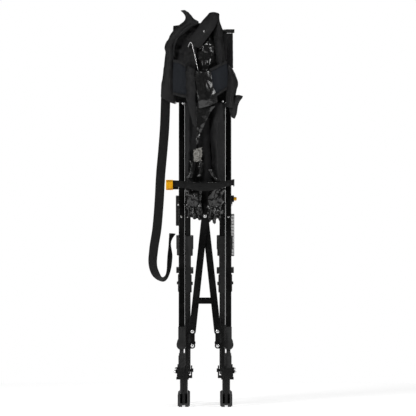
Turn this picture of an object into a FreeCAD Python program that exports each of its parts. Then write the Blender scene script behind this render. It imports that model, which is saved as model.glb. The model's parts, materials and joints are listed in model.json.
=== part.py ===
"""Folding stretcher, stored upright as a folded bundle.

Three rows of feet carry two scissors in series along each side. A spreader of
two bars crosses each end. Opening the scissors lengthens the bed and lowers
it, opening the spreaders widens it, and four cloth panels hung between the
upper pivots swing up into the deck.

Frame: X across the bed, Y along it, Z up from the floor. Millimetres.
"""
import FreeCAD, Part
import math
import os
import re
from FreeCAD import Placement, Rotation, Vector

SIZES = {
    # the folding geometry, between pivot centres
    "bar_long": 889, "row_gap": 96, "mid_half": 14, "pivot_high": 92,
    "spreader_foot": 33, "spreader_low": 199, "spreader_top": 502,
    # where the bundle stands about the origin
    "side_shift": 24.47, "depth_shift": 6.25,
    # side tubes
    "lane_outer": 62, "lane_gap": 1, "tube_wide": 15, "tube_deep": 18,
    "tube_wall": 1.5, "tube_round": 2.5, "tube_past": 8.5,
    # pins, rivets and their play
    "pin_round": 3, "pin_play": 0.1, "head_round": 4.5, "head_thick": 3,
    # legs and foot pads
    "leg_out": 56, "stem_round": 10, "stem_low": 6, "base_low": 72, "base_thick": 6,
    "ear_play": 1, "ear_thick": 3.5, "ear_deep": 26, "ear_over": 12,
    "pad_wide": 32, "pad_deep": 34, "pad_high": 34, "pad_play": 0.1,
    # hanger that carries the spreader's lower pivot
    "hanger_thick": 4.5, "tab_high": 15, "tab_lower": 161,
    "strip_wide": 11, "face_thick": 3, "face_wide": 29, "face_high": 26, "slot_high": 2, "post_wide": 6,
    # knuckle at the lower end of each outer tube, heights along the tube
    "block_high": 42, "block_play": 0.5, "neck_wide": 10, "neck_high": 12,
    "disc_round": 13, "disc_thick": 12, "disc_high": 71, "sleeve_wall": 1,
    "sleeve_top": 118, "socket_low": 88,
    # lock sleeve, heights along the tube
    "collar_low": 324, "collar_high": 36, "collar_over": 7.5, "collar_wall": 3,
    "ring_high": 17, "ring_step": 1.5, "small_low": 260, "small_high": 14,
    "clasp_low": 210, "clasp_high": 44, "clasp_wide": 3, "screw_round": 4,
    # spreader bars
    "spreader_wide": 18, "spreader_thick": 6, "spreader_gap": 1, "tie_level": 277,
    "tie_high": 11,
    # caps
    "hat_wide": 32, "hat_end": 14, "hat_thick": 8, "hat_over": 13, "cap_over": 1.6,
    # cloth
    "deck_clear": 2.5, "deck_long": 355, "deck_thick": 4, "deck_drop": 20,
    "deck_off": 1, "hem_wide": 5, "hem_gap": 2,
    "cover_left": 100, "cover_split": 30, "cover_right": 98, "cover_thick": 38,
    "cover_clear": 3, "cover_drop": 185.8, "cover_rise": 9.2, "hump_rise": 60.2,
    "hump_wide": 50, "fall_half": 52, "fall_thick": 36,
    "fall_low": 520,
    # storage strap and cam buckle
    "webbing_wide": 25, "webbing_thick": 3, "strap_level": 571, "strap_left": 84,
    "buckle_wide": 20.5, "buckle_deep": 10, "buckle_left": 102.5,
    "lever_wide": 16, "lever_in": 2, "lever_thick": 4, "lever_gap": 0.4,
    # release button in its housing on the right outer tube
    "button_level": 458, "button_round": 5, "button_out": 13, "housing_thick": 7,
    "housing_high": 16, "button_play": 0.2, "carry_thick": 2.5, "carry_wide": 22,
    "carry_lean": 10.3, "carry_over": 32,
}

LEAN = "asin(row_gap / bar_long)"
TOP_HIGH = "(pivot_high + sqrt(bar_long ^ 2 - row_gap ^ 2))"

# Sizes that follow from others, written with the sheet's names.
DERIVED = {
    "cover_low": f"({TOP_HIGH} - cover_drop)",
    "cover_top": f"({TOP_HIGH} + cover_rise)",
    "hump_top": f"({TOP_HIGH} + hump_rise)",
    "outer_edge": "(lane_outer - tube_wide / 2)",
    "strap_back": f"(mid_half + row_gap * ({TOP_HIGH} - strap_level - webbing_wide / 2)"
                  f" / ({TOP_HIGH} - pivot_high))",
    "ear_gap": "(tube_wide + 2 * ear_play)",
    "block_wide": "(tube_wide + 2 * block_play)",
    "collar_round": "(tube_wide / 2 + collar_over)",
    "collar_deep": "(tube_deep + 2 * collar_wall)",
    "lane_inner": "(lane_outer - tube_wide - lane_gap)",
    "deck_left": "(lane_outer - tube_wide * 3 / 2 - lane_gap - deck_clear)",
    "deck_wide": "(2 * (lane_outer - tube_wide * 3 / 2 - lane_gap - deck_clear)"
                 " - hem_wide - hem_gap)",
    "hat_deep": "(2 * (mid_half + hat_end))",
    "cover_back": "(mid_half + row_gap + tube_deep / 2 + cover_clear)",
    "cover_front": "(mid_half + row_gap + tube_deep / 2 + cover_clear + cover_thick)",
    "fall_back": "(mid_half + row_gap + tube_deep / 2 + cover_clear - fall_thick / 2)",
    "fall_front": "(mid_half + row_gap + tube_deep / 2 + cover_clear + fall_thick / 2)",
}

# The carry strap's middle line, across and up, hand laid: down the outside of
# the cover, round the loose loop at the bottom and back up to the side tube.
CARRY_LINE = [(-104, 822), (-106, 742), (-111, 676), (-117, 610), (-121, 540), (-127, 470),
              (-136, 412), (-138, 372), (-128, 345), (-111, 334), (-97, 350), (-92, 392),
              (-93, 432), (-86, 455)]

doc = FreeCAD.newDocument("stretcher")
dims = doc.addObject("Spreadsheet::Sheet", "dims")
for line, (name, value) in enumerate(SIZES.items(), start=1):
    dims.set(f"A{line}", name)
    dims.set(f"B{line}", str(value))
    dims.setAlias(f"B{line}", name)
doc.recompute()

X_AXIS, Y_AXIS, Z_AXIS = Vector(1, 0, 0), Vector(0, 1, 0), Vector(0, 0, 1)
TURNS = {"x": Rotation(Y_AXIS, 90), "y": Rotation(X_AXIS, -90), "z": Rotation()}
SIDES = {"left": -1, "right": 1}
ENDS = {"near": -1, "far": 1}
nodes = []


def tie(thing, slot, expression):
    """Bind one property to the sheet: every size's name has an underscore."""
    word = r"[a-z]+(_[a-z]+)+"
    full = re.sub(word, lambda name: DERIVED.get(name.group(), name.group()), str(expression))
    thing.setExpression(slot, re.sub(word, lambda name: "dims." + name.group(), full))


def seat(thing, x, y, z):
    for axis, expression in zip("xyz", (x, y, z)):
        tie(thing, f"Placement.Base.{axis}", expression)


def block(wide, deep, high, x="0", y="0", z="0"):
    """A box centred over (x, y), rising from z."""
    piece = doc.addObject("Part::Box", "block")
    for slot, size in (("Length", wide), ("Width", deep), ("Height", high)):
        tie(piece, slot, size)
    seat(piece, f"{x} - ({wide}) / 2", f"{y} - ({deep}) / 2", z)
    return piece


def rod(radius, long, axis, x="0", y="0", z="0"):
    """A round bar along one axis, centred on (x, y, z)."""
    piece = doc.addObject("Part::Cylinder", "rod")
    tie(piece, "Radius", radius)
    tie(piece, "Height", long)
    piece.Placement.Rotation = TURNS[axis]
    place = {"x": x, "y": y, "z": z}
    place[axis] = f"{place[axis]} - ({long}) / 2"
    seat(piece, place["x"], place["y"], place["z"])
    return piece


def fuse(*pieces):
    whole = doc.addObject("Part::MultiFuse", "fuse")
    whole.Shapes = list(pieces)
    whole.Refine = True
    return whole


def cut(base, *tools):
    whole = doc.addObject("Part::Cut", "cut")
    whole.Base = base
    whole.Tool = tools[0] if len(tools) == 1 else fuse(*tools)
    return whole


def common(base, tool):
    whole = doc.addObject("Part::Common", "common")
    whole.Base = base
    whole.Tool = tool
    return whole


def node(label, piece, x="0", y="0", z="0", lean="0"):
    """Name a finished piece and put it in its place, leaning about X."""
    if piece.TypeId in ("Part::Box", "Part::Cylinder"):
        plain, piece = piece, doc.addObject("Part::Refine", "plain")
        piece.Source = plain
    piece.Label = label
    piece.Placement.Rotation = Rotation(X_AXIS, 1)
    tie(piece, "Placement.Rotation.Angle", lean)
    seat(piece, f"{x} + side_shift", f"{y} + depth_shift", z)
    nodes.append(piece)
    return piece


def origin_plane(body, role):
    return next(f for f in body.Origin.OriginFeatures if f.Role == role)


def sketch_on(body, role, name):
    sketch = body.newObject("Sketcher::SketchObject", name)
    sketch.AttachmentSupport = [(origin_plane(body, role), "")]
    sketch.MapMode = "FlatFace"
    return sketch


def rectangle(sketch, wide, deep):
    """A rectangle centred on the sketch's origin."""
    import Sketcher
    first = sketch.GeometryCount
    corners = [Vector(-5, -5, 0), Vector(5, -5, 0), Vector(5, 5, 0), Vector(-5, 5, 0)]
    for n in range(4):
        sketch.addGeometry(Part.LineSegment(corners[n], corners[(n + 1) % 4]))
    for n in range(4):
        sketch.addConstraint(Sketcher.Constraint(
            "Coincident", first + n, 2, first + (n + 1) % 4, 1))
        sketch.addConstraint(Sketcher.Constraint(
            "Vertical" if n % 2 else "Horizontal", first + n))
    sketch.addConstraint(Sketcher.Constraint("Symmetric", first, 1, first + 1, 2, -1, 1))
    for kind, size in (("DistanceX", wide), ("DistanceY", deep)):
        start, end = (first, first + 1) if kind == "DistanceY" else (first, first)
        index = sketch.addConstraint(Sketcher.Constraint(kind, start, 1, end, 2, 10.0))
        tie(sketch, f"Constraints[{index}]", size)


def circle(sketch, radius, height):
    """A circle on the sketch's vertical axis."""
    import Sketcher
    ring = sketch.addGeometry(Part.Circle(Vector(0, 50, 0), Z_AXIS, 3))
    sketch.addConstraint(Sketcher.Constraint("PointOnObject", ring, 3, -2))
    place = sketch.addConstraint(Sketcher.Constraint("DistanceY", -1, 1, ring, 3, 50.0))
    size = sketch.addConstraint(Sketcher.Constraint("Radius", ring, 3.0))
    tie(sketch, f"Constraints[{place}]", height)
    tie(sketch, f"Constraints[{size}]", radius)


def square_tube(name, low, holes):
    """A rounded square tube along Z from low to past the upper pivot, drilled across."""
    body = doc.addObject("PartDesign::Body", name)
    section = sketch_on(body, "XY_Plane", name + "_section")
    tie(section, "AttachmentOffset.Base.z", low)
    rectangle(section, "tube_wide", "tube_deep")
    rectangle(section, "tube_wide - 2 * tube_wall", "tube_deep - 2 * tube_wall")
    pad = body.newObject("PartDesign::Pad", name + "_pad")
    pad.Profile = section
    tie(pad, "Length", f"bar_long + tube_past - ({low})")
    doc.recompute()
    half_wide, half_deep = dims.tube_wide / 2, dims.tube_deep / 2
    corners = [f"Edge{n}" for n, edge in enumerate(pad.Shape.Edges, start=1)
               if abs(abs(edge.CenterOfMass.x) - half_wide) < 0.01
               and abs(abs(edge.CenterOfMass.y) - half_deep) < 0.01]
    rounded = body.newObject("PartDesign::Fillet", name + "_corners")
    rounded.Base = (pad, corners)
    tie(rounded, "Radius", "tube_round")
    doc.recompute()
    whole = rounded.Shape.Volume
    for number, height in enumerate(holes, start=1):
        drill = sketch_on(body, "YZ_Plane", f"{name}_drill_{number}")
        circle(drill, "pin_round + pin_play", height)
        hole = body.newObject("PartDesign::Pocket", f"{name}_hole_{number}")
        hole.Profile = drill
        hole.Type = "ThroughAll"
        hole.Midplane = True
        doc.recompute()
        if hole.Shape.Volume >= whole - 1:
            raise RuntimeError(f"{name}: hole {number} cuts nothing")
        whole = hole.Shape.Volume
    return body


def pin(long, axis, x="0", y="0", z="0", heads=True):
    """A rivet or bolt centred on its place, with a low head at each end."""
    shank = rod("pin_round", long, axis, x, y, z)
    if not heads:
        return shank
    place = {"x": x, "y": y, "z": z}
    ends = []
    for way in ("+", "-"):
        there = dict(place)
        there[axis] = f"{place[axis]} {way} ({long} + head_thick) / 2"
        ends.append(rod("head_round", "head_thick", axis, **there))
    return fuse(shank, *ends)


def leg(end, side, way):
    """Bracket with ears, stem, pivot bolts and, at the ends, the spreader's hanger."""
    lane = "lane_inner" if end == "mid" else "lane_outer"
    shift = f"{way} * ({lane} - leg_out)"
    deep = "ear_deep" if end != "mid" else "ear_deep + 2 * mid_half"
    rows = ("mid_half", "-mid_half") if end == "mid" else ("0",)
    pieces = [rod("stem_round", "base_low + base_thick / 2 - stem_low", "z",
                  z="(base_low + base_thick / 2 + stem_low) / 2"),
              block("ear_gap + 2 * ear_thick + 9", deep, "base_thick",
                    x=f"{shift} / 2", z="base_low")]
    for hand in (-1, 1):
        pieces.append(block(
            "ear_thick", deep, "pivot_high + ear_over - base_low",
            x=f"{shift} + {hand} * (ear_gap + ear_thick) / 2", z="base_low"))
    for y in rows:
        pieces.append(pin("ear_gap + 2 * ear_thick", "x", x=shift, y=y, z="pivot_high"))
    if end == "mid":
        return fuse(*pieces)
    front = ENDS[end]
    pieces += hanger(front, way)
    plate = block("face_wide", "face_thick", "face_high", x=f"{way} * 1",
                  y=f"{front} * (ear_deep + face_thick) / 2", z="base_low + 2")
    slot = block("face_wide - 6", "2", "slot_high", x=f"{way} * 1",
                 y=f"{front} * (ear_deep / 2 + face_thick)", z="pivot_high - slot_high / 2")
    return cut(fuse(plate, *pieces), slot)


def hanger(front, way):
    """Post and tabs inside the leg, with the spreader's pivot rivet."""
    post_x = f"{way} * (lane_outer - (ear_gap + post_wide) / 2 - ear_thick - leg_out)"
    pivot_x = f"{way} * (spreader_foot - leg_out)"
    reach = "spreader_thick + spreader_gap" if way < 0 else "0"
    face = f"(ear_deep / 2 + 2 + hanger_thick + {reach})"
    middle = f"{front} * (ear_deep / 2 + {face}) / 2"
    deep = f"({face} - ear_deep / 2)"
    pieces = [block("post_wide", f"{deep} + 6", "spreader_low + tab_high / 2 - base_low",
                    x=post_x, y=f"{middle} - {front} * 3", z="base_low")]
    tab_x = f"({way} * (lane_outer - ear_gap / 2 - ear_thick - leg_out) + {pivot_x}) / 2"
    tab_wide = "lane_outer - ear_gap / 2 - ear_thick - spreader_foot"
    for level in ("spreader_low", "tab_lower"):
        pieces.append(block(tab_wide, deep, "tab_high", x=tab_x, y=middle,
                            z=f"{level} - tab_high / 2"))
        pieces.append(rod("tab_high / 2", deep, "y", x=pivot_x, y=middle, z=level))
    pieces.append(block("strip_wide", deep, "spreader_low - tab_lower",
                        x=pivot_x, y=middle, z="tab_lower"))
    long = "spreader_thick + 2 * spreader_gap"
    pieces.append(rod("pin_round", long, "y", x=pivot_x,
                      y=f"{front} * ({face} + ({long}) / 2)", z="spreader_low"))
    pieces.append(rod("head_round", "head_thick", "y", x=pivot_x,
                      y=f"{front} * ({face} + {long} + head_thick / 2)", z="spreader_low"))
    pieces.append(rod("head_round", "head_thick", "y", x=pivot_x,
                      y=f"{front} * ({face} + head_thick / 2)", z="tab_lower"))
    return pieces


def foot_pad():
    """Rubber foot round the stem, open at the front and back, with side ribs."""
    solid = block("pad_wide - 6", "pad_deep", "pad_high")
    ribs = [rod("3", "pad_high - 4", "z", x=f"{hand} * (pad_wide / 2 - 3)",
                y=y, z="pad_high / 2")
            for hand in (-1, 1) for y in ("-8", "0", "8")]
    bore = rod("stem_round + pad_play", "pad_high", "z", z="stem_low + pad_high / 2")
    window = block("2 * stem_round - 1", "pad_deep + 2", "pad_high", z="stem_low + 3")
    groove = block("8", "pad_deep + 2", "4", z="0")
    return cut(fuse(solid, *ribs), bore, window, groove)


def knuckle():
    """Moulded lower end of an outer tube: pivot block, neck, disc and socket."""
    hole = "pin_round + pin_play"
    block_top = "block_high"
    outer_w = "tube_wide + 2 * sleeve_wall"
    outer_d = "tube_deep + 2 * sleeve_wall"
    pieces = [rod("tube_deep / 2", "block_wide", "x"),
              block("block_wide", "tube_deep", block_top),
              block("neck_wide", "tube_deep - 6", "neck_high + 6", z="block_high - 1"),
              rod("disc_round", "disc_thick + 8", "y", z="disc_high"),
              block(outer_w, outer_d, "sleeve_top - disc_high", z="disc_high"),
              block("3", f"{outer_d} + 2", "sleeve_top - disc_high - 8", z="disc_high + 4")]
    socket = block("tube_wide", "tube_deep", "bar_long", z="socket_low")
    return cut(fuse(*pieces), rod(hole, "block_wide + 2", "x"), socket)


def lock_sleeve(bias):
    """Collar, ring, small collar and screwed clasp on a tube, biased to one side."""
    wide = "collar_round + tube_wide / 2"
    x = f"{bias} * (collar_round - tube_wide / 2) / 2"
    collar = common(rod("collar_round", "collar_high", "z", z="collar_low + collar_high / 2"),
                    block(wide, "collar_deep", "collar_high", x=x, z="collar_low"))
    ring = common(rod("collar_round - ring_step", "ring_high", "z",
                      z="collar_low - ring_high / 2"),
                  block(f"{wide} - ring_step", "collar_deep - ring_step", "ring_high",
                        x=x, z="collar_low - ring_high"))
    skirt = block("tube_wide + 1", "tube_deep + 4", "collar_low - ring_high - clasp_low",
                  x=f"{bias} * 0.5", z="clasp_low")
    small = block(wide, "collar_deep", "small_high", x=x, z="small_low")
    clasp = block("tube_wide + clasp_wide", "collar_deep", "clasp_high",
                  x=f"{bias} * clasp_wide / 2", z="clasp_low")
    screw = rod("screw_round", "clasp_wide", "x",
                x=f"{bias} * (tube_wide / 2 + clasp_wide * 1.5)", z="clasp_low + clasp_high / 2")
    core = block("tube_wide", "tube_deep", "bar_long", z="0")
    return cut(fuse(collar, ring, skirt, small, clasp, screw), core)


def spreader_bar(way):
    """Flat bar from its lower pivot up to the apex, leaning to the middle, drilled."""
    long = "sqrt(spreader_foot ^ 2 + (spreader_top - spreader_low) ^ 2)"
    bar = fuse(block("spreader_wide", "spreader_thick", long),
               rod("spreader_wide / 2", "spreader_thick", "y"),
               rod("spreader_wide / 2", "spreader_thick", "y", z=long))
    bar.Placement.Rotation = Rotation(Y_AXIS, 1)
    tie(bar, "Placement.Rotation.Angle",
        f"{-way} * atan(spreader_foot / (spreader_top - spreader_low))")
    seat(bar, f"{way} * spreader_foot", "0", "spreader_low")
    holes = [rod("pin_round + pin_play", "spreader_thick + 2", "y",
                 x=f"{way} * spreader_foot", z="spreader_low")]
    if way > 0:
        holes.append(rod("pin_round + pin_play", "spreader_thick + 2", "y", z="spreader_top"))
    return cut(bar, *holes)


def box_between(low, high):
    """A box from its low corner to its high corner, each three expressions."""
    sizes = [f"({b}) - ({a})" for a, b in zip(low, high)]
    middle = [f"(({a}) + ({b})) / 2" for a, b in zip(low, high)]
    return block(*sizes, middle[0], middle[1], low[2])


# Feet, legs and everything that leans, row by row.
for side, way in SIDES.items():
    for end, row in (("near", "-(mid_half + row_gap)"), ("mid", "0"),
                     ("far", "(mid_half + row_gap)")):
        leg_x = f"{way} * leg_out"
        node(f"foot_pad_{end}_{side}", foot_pad(), leg_x, row)
        node(f"leg_{end}_{side}", leg(end, side, way), leg_x, row)

    for end, front in ENDS.items():
        outer = (f"{way} * lane_outer", f"{front} * (mid_half + row_gap)", "pivot_high")
        inner = (f"{way} * lane_inner", f"{front} * mid_half", "pivot_high")
        outer_lean, inner_lean = f"{front} * {LEAN}", f"{-front} * {LEAN}"
        place = f"{end}_{side}"
        node(f"outer_tube_{place}",
             square_tube(f"outer_tube_{place}", "socket_low", ["bar_long / 2", "bar_long"]),
             *outer, outer_lean)
        node(f"inner_tube_{place}",
             square_tube(f"inner_tube_{place}", "-tube_past",
                         ["0", "bar_long / 2", "bar_long"]),
             *inner, inner_lean)
        node(f"knuckle_{place}", knuckle(), *outer, outer_lean)
        node(f"lock_sleeve_inner_{place}", lock_sleeve(-way), *inner, inner_lean)
        node(f"end_cap_{place}",
             block("tube_wide + cap_over", "tube_deep + cap_over", "hat_thick",
                   z="bar_long + tube_past"), *inner, inner_lean)
        node(f"crossing_rivet_{place}",
             pin("lane_outer - lane_inner + tube_wide", "x",
                 x=f"{way} * (lane_outer - lane_inner) / 2", z="bar_long / 2"),
             *inner, inner_lean)
    node(f"lock_sleeve_outer_far_{side}", lock_sleeve(way),
         f"{way} * lane_outer", "mid_half + row_gap", "pivot_high", LEAN)

    # Plastic hat over the two outer tubes' upper ends, with its pivot pins.
    ears = [block("ear_thick", "2 * mid_half + 2 * tube_past + 4", "hat_over + pin_round + 7",
                  x=f"{hand} * (ear_gap + ear_thick - 1) / 2", z="-pin_round - 7")
            for hand in (-1, 1)]
    pins = [rod("pin_round", "ear_gap + ear_thick", "x", y=f"{hand} * mid_half")
            for hand in (-1, 1)]
    hat = block("hat_wide", "hat_deep", "hat_thick", z="hat_over")
    node(f"top_hat_{side}", fuse(hat, *ears, *pins), f"{way} * lane_outer", "0", TOP_HIGH)

# Spreaders: the left bar stands in front of the right one and carries the apex rivet.
for end, front in ENDS.items():
    for side, way in SIDES.items():
        step = "spreader_thick + spreader_gap" if way < 0 else "0"
        y = (f"{front} * (mid_half + row_gap + ear_deep / 2 + 2 + hanger_thick"
             f" + spreader_gap + spreader_thick / 2 + {step})")
        bar = spreader_bar(way)
        if way < 0:
            behind = f"{-front} * (spreader_thick + spreader_gap)"
            rivet = rod("pin_round", "3 * spreader_thick", "y",
                        y=f"{behind} / 2", z="spreader_top")
            heads = [rod("head_round", "head_thick", "y", z="spreader_top",
                         y=f"{front} * (spreader_thick + head_thick) / 2"),
                     rod("head_round", "head_thick", "y", z="spreader_top",
                         y=f"{behind} - {front} * (spreader_thick / 2 + spreader_gap"
                           f" + head_thick / 2)")]
            tie_bar = block("spreader_foot + 12", "spreader_thick", "tie_high",
                            x="-2", z="tie_level - tie_high / 2")
            bar = fuse(bar, rivet, *heads, tie_bar)
        node(f"spreader_{end}_{side}", bar, "0", y)

# Deck panels hang from the upper pivots, with a hem that slides out to the right.
for end, front in ENDS.items():
    for part, row, lean, face in (("end", "mid_half + row_gap", -front, -front),
                                  ("mid", "mid_half", front, front)):
        def strip(left, wide, face=face):
            return block(wide, "deck_thick", "deck_long", x=f"{left} + ({wide}) / 2",
                         y=f"{face} * (deck_off + deck_thick / 2)",
                         z="-deck_drop - deck_long")
        place = ("0", f"{front} * ({row})", TOP_HIGH, f"{lean} * {LEAN}")
        node(f"deck_{end}_{part}", strip("-deck_left", "deck_wide"), *place)
        node(f"hem_{end}_{part}", strip("-deck_left + deck_wide + hem_gap", "hem_wide"), *place)

# The end cover: a folded upper part with two humps and a narrower fall below it.
cover = fuse(
    box_between(("-cover_left", "-cover_front", "cover_low"),
                ("cover_split", "-cover_back", "cover_top")),
    box_between(("-hump_wide - 20", "-cover_front", "cover_top - 1"),
                ("-20", "-cover_back", "hump_top")),
    box_between(("-fall_half", "-fall_front", "fall_low"),
                ("cover_split", "-fall_back", "cover_low + 1")),
    box_between(("-outer_edge + lane_gap / 2", "-fall_front - webbing_thick", "strap_level"),
                ("cover_split", "-fall_front + 1", "strap_level + webbing_wide")))
node("end_cover", cover)
wing = fuse(
    box_between(("cover_split + hem_gap", "-cover_front", "cover_low"),
                ("cover_right", "-cover_back", "cover_top")),
    box_between(("cover_split + hem_gap", "-cover_front", "cover_top - 1"),
                ("hump_wide", "-cover_back", "hump_top")),
    box_between(("cover_split + hem_gap", "-fall_front", "fall_low"),
                ("fall_half", "-fall_back", "cover_low + 1")))
node("end_cover_wing", wing)

# Storage strap: its end goes round the left outer tube and holds the cam buckle.  The
# long part is sewn to the cover, and made with it.
strap = fuse(
    box_between(("-strap_left", "-fall_front - webbing_thick", "strap_level"),
                ("-outer_edge", "-fall_front", "strap_level + webbing_wide")),
    box_between(("-strap_left", "-fall_front - 1", "strap_level"),
                ("-strap_left + webbing_thick", "-strap_back", "strap_level + webbing_wide")),
    box_between(("-strap_left", "-strap_back - webbing_thick", "strap_level"),
                ("-outer_edge - tube_wide", "-strap_back", "strap_level + webbing_wide")))
node("storage_strap", strap)
buckle_right = "(-buckle_left + buckle_wide - 2)"
buckle_face = "(-fall_front - buckle_deep / 2)"
node("buckle_body", box_between(
    ("-buckle_left", buckle_face, "strap_level - 1"),
    (f"{buckle_right}", f"{buckle_face} + buckle_deep", "strap_level + webbing_wide + 1")))
lever_y = f"({buckle_face} - lever_gap - lever_thick / 2)"
lever = fuse(
    box_between(("-buckle_left + lever_in", f"{lever_y} - lever_thick / 2", "strap_level + 3"),
                ("-buckle_left + lever_in + lever_wide", f"{lever_y} + lever_thick / 2",
                 "strap_level + webbing_wide - 3")),
    rod("lever_thick / 2", "webbing_wide - 6", "z", x="-buckle_left + lever_in", y=lever_y,
        z="strap_level + webbing_wide / 2"))
node("buckle_lever", lever)

# Release button in its housing, on the outside of the right near outer tube.
on_tube = ("lane_outer", "-(mid_half + row_gap)", "pivot_high", f"-1 * {LEAN}")
face = "tube_wide / 2"
housing = cut(block("housing_thick", "tube_deep", "housing_high",
                    x=f"{face} + housing_thick / 2", z="button_level - housing_high / 2"),
              rod("button_round + button_play", "housing_thick + 2", "x",
                  x=f"{face} + housing_thick / 2", z="button_level"))
node("button_housing", housing, *on_tube)
node("release_button", rod("button_round", "button_out - 5", "x",
                           x=f"{face} + 5 + (button_out - 5) / 2", z="button_level"), *on_tube)


def carry_strap():
    """A flat ribbon along the strap's line, cut from one sheet and given its thickness."""
    half = dims.carry_wide / 2
    line = [Vector(x, 0, z - CARRY_LINE[0][1]) for x, z in CARRY_LINE]
    sides = ([], [])
    for n, point in enumerate(line):
        before, after = line[max(n - 1, 0)], line[min(n + 1, len(line) - 1)]
        run = (after - before).normalize()
        square = Vector(-run.z, 0, run.x)
        narrow = half if n < 7 else half * 0.45
        sides[0].append(point + square * narrow)
        sides[1].append(point - square * narrow)
    outline = sides[0] + sides[1][::-1]
    ribbon = Part.Face(Part.makePolygon(outline + outline[:1]))
    piece = doc.addObject("Part::Feature", "carry_strap")
    piece.Shape = ribbon.extrude(Vector(0, dims.carry_thick, 0))
    return piece


carry = carry_strap()
carry.Label = "carry_strap"
carry.Placement = Placement(
    Vector(dims.side_shift,
           dims.depth_shift - dims.mid_half - dims.row_gap - dims.tube_deep / 2 - dims.cover_clear,
           dims.pivot_high + math.sqrt(dims.bar_long ** 2 - dims.row_gap ** 2)
           - dims.cover_drop + dims.carry_over),
    Rotation(X_AXIS, dims.carry_lean))
nodes.append(carry)

doc.recompute()
for thing in doc.Objects:
    if "Invalid" in thing.State or "Error" in thing.State:
        raise RuntimeError(f"{thing.Label} failed: {thing.State}")
os.makedirs("parts", exist_ok=True)
for piece in nodes:
    if piece.Shape.isNull() or not piece.Shape.isValid():
        raise RuntimeError(f"{piece.Label} has no valid shape")
    piece.Shape.exportStep(f"parts/{piece.Label}.step")
print(len(nodes), "nodes")
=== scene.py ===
"""Looks of the folding stretcher: metals, mouldings, cloth, webbing, light and camera."""
import json
import math
import bpy
import bmesh
from mathutils import Matrix, Vector, noise


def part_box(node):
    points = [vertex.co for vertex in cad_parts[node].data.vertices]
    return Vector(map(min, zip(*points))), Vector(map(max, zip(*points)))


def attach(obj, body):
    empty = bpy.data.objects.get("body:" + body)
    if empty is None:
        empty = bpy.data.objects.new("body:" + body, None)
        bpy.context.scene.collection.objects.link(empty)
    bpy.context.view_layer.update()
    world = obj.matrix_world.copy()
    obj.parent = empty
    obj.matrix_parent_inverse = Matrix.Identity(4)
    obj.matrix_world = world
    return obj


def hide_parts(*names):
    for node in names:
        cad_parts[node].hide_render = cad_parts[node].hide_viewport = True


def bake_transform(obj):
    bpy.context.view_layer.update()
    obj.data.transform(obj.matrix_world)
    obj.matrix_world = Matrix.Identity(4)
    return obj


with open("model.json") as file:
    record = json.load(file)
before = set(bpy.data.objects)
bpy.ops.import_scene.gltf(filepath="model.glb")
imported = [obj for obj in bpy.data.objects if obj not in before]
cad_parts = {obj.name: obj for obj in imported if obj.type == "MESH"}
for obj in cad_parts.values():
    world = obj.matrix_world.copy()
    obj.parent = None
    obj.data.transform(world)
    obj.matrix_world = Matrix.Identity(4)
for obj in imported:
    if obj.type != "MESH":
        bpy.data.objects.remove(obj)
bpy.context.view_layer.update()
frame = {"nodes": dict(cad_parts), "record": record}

# ---------------------------------------------------------------- places
left_pad, right_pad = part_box("foot_pad_near_left"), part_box("foot_pad_near_right")
far_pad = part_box("foot_pad_far_left")
MID_X = (left_pad[0][0] + right_pad[1][0]) / 2
MID_Y = (left_pad[0][1] + far_pad[1][1]) / 2
JOINTS = {joint["name"]: joint for joint in frame["record"]["behaviour"]["joints"]}
COVER_LEFT, COVER_RIGHT = "inner_bar_near_left", "end_cover_wing"
CREASE_GAIN, FINE_GAIN, FINE_SIZE = 1.8, 0.6, 0.35
FLAT_SPARE = 1.02           # flat length over drawn area and width
LEAST_FLAT = 0.0105         # least flat width and length worked out for a sheet
DECK_REACH = 0.0555         # how far the cloth hangs below its solid, to meet at the fold
SIDES = {"left": -1, "right": 1}
ENDS = {"near": -1, "far": 1}


def spot(x, y, z):
    """A place from the bundle's middle line on the floor, given in millimetres."""
    return Vector((MID_X + x / 1000, MID_Y + y / 1000, z / 1000))


def pivot(joint):
    """Where a hinge's axis stands at rest."""
    return Vector(JOINTS[joint]["pos_m"])


# ---------------------------------------------------------------- shader groups
def new_group(name, inputs, outputs):
    """An empty node group with its sockets, its two ends and its coordinates."""
    group = bpy.data.node_groups.new(name, "ShaderNodeTree")
    for label, kind, value in inputs:
        socket = group.interface.new_socket(label, in_out="INPUT", socket_type=kind)
        socket.default_value = value
    for label, kind in outputs:
        group.interface.new_socket(label, in_out="OUTPUT", socket_type=kind)
    enter, leave = group.nodes.new("NodeGroupInput"), group.nodes.new("NodeGroupOutput")
    coordinates = group.nodes.new("ShaderNodeTexCoord")
    return group, enter, leave, coordinates


def add(group, kind, settings=None, **values):
    """A node with its settings and unlinked inputs, or links where a socket is given."""
    node = group.nodes.new(kind)
    for key, value in (settings or {}).items():
        setattr(node, key, value)
    for key, value in values.items():
        socket = node.inputs[int(key[1:])] if key[0] == "i" and key[1:].isdigit() \
            else node.inputs[key.replace("_", " ")]
        if isinstance(value, bpy.types.NodeSocket):
            group.links.new(value, socket)
        else:
            socket.default_value = value
    return node


def surface_group(name, build, inputs):
    """A group that gives a tint from 0 to 1, a roughness and a normal."""
    group, enter, leave, coordinates = new_group(
        name, inputs, [("Tint", "NodeSocketFloat"), ("Rough", "NodeSocketFloat"),
                       ("Normal", "NodeSocketVector")])
    height, tint, rough, depth = build(group, enter, coordinates.outputs["Object"])
    bump = add(group, "ShaderNodeBump", Strength=enter.outputs["Relief"], Distance=depth,
               Height=height)
    group.links.new(tint, leave.inputs["Tint"])
    group.links.new(rough, leave.inputs["Rough"])
    group.links.new(bump.outputs["Normal"], leave.inputs["Normal"])
    return group


COMMON = [("Scale", "NodeSocketFloat", 400.0), ("Relief", "NodeSocketFloat", 0.3),
          ("Low Rough", "NodeSocketFloat", 0.4), ("High Rough", "NodeSocketFloat", 0.6)]


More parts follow.
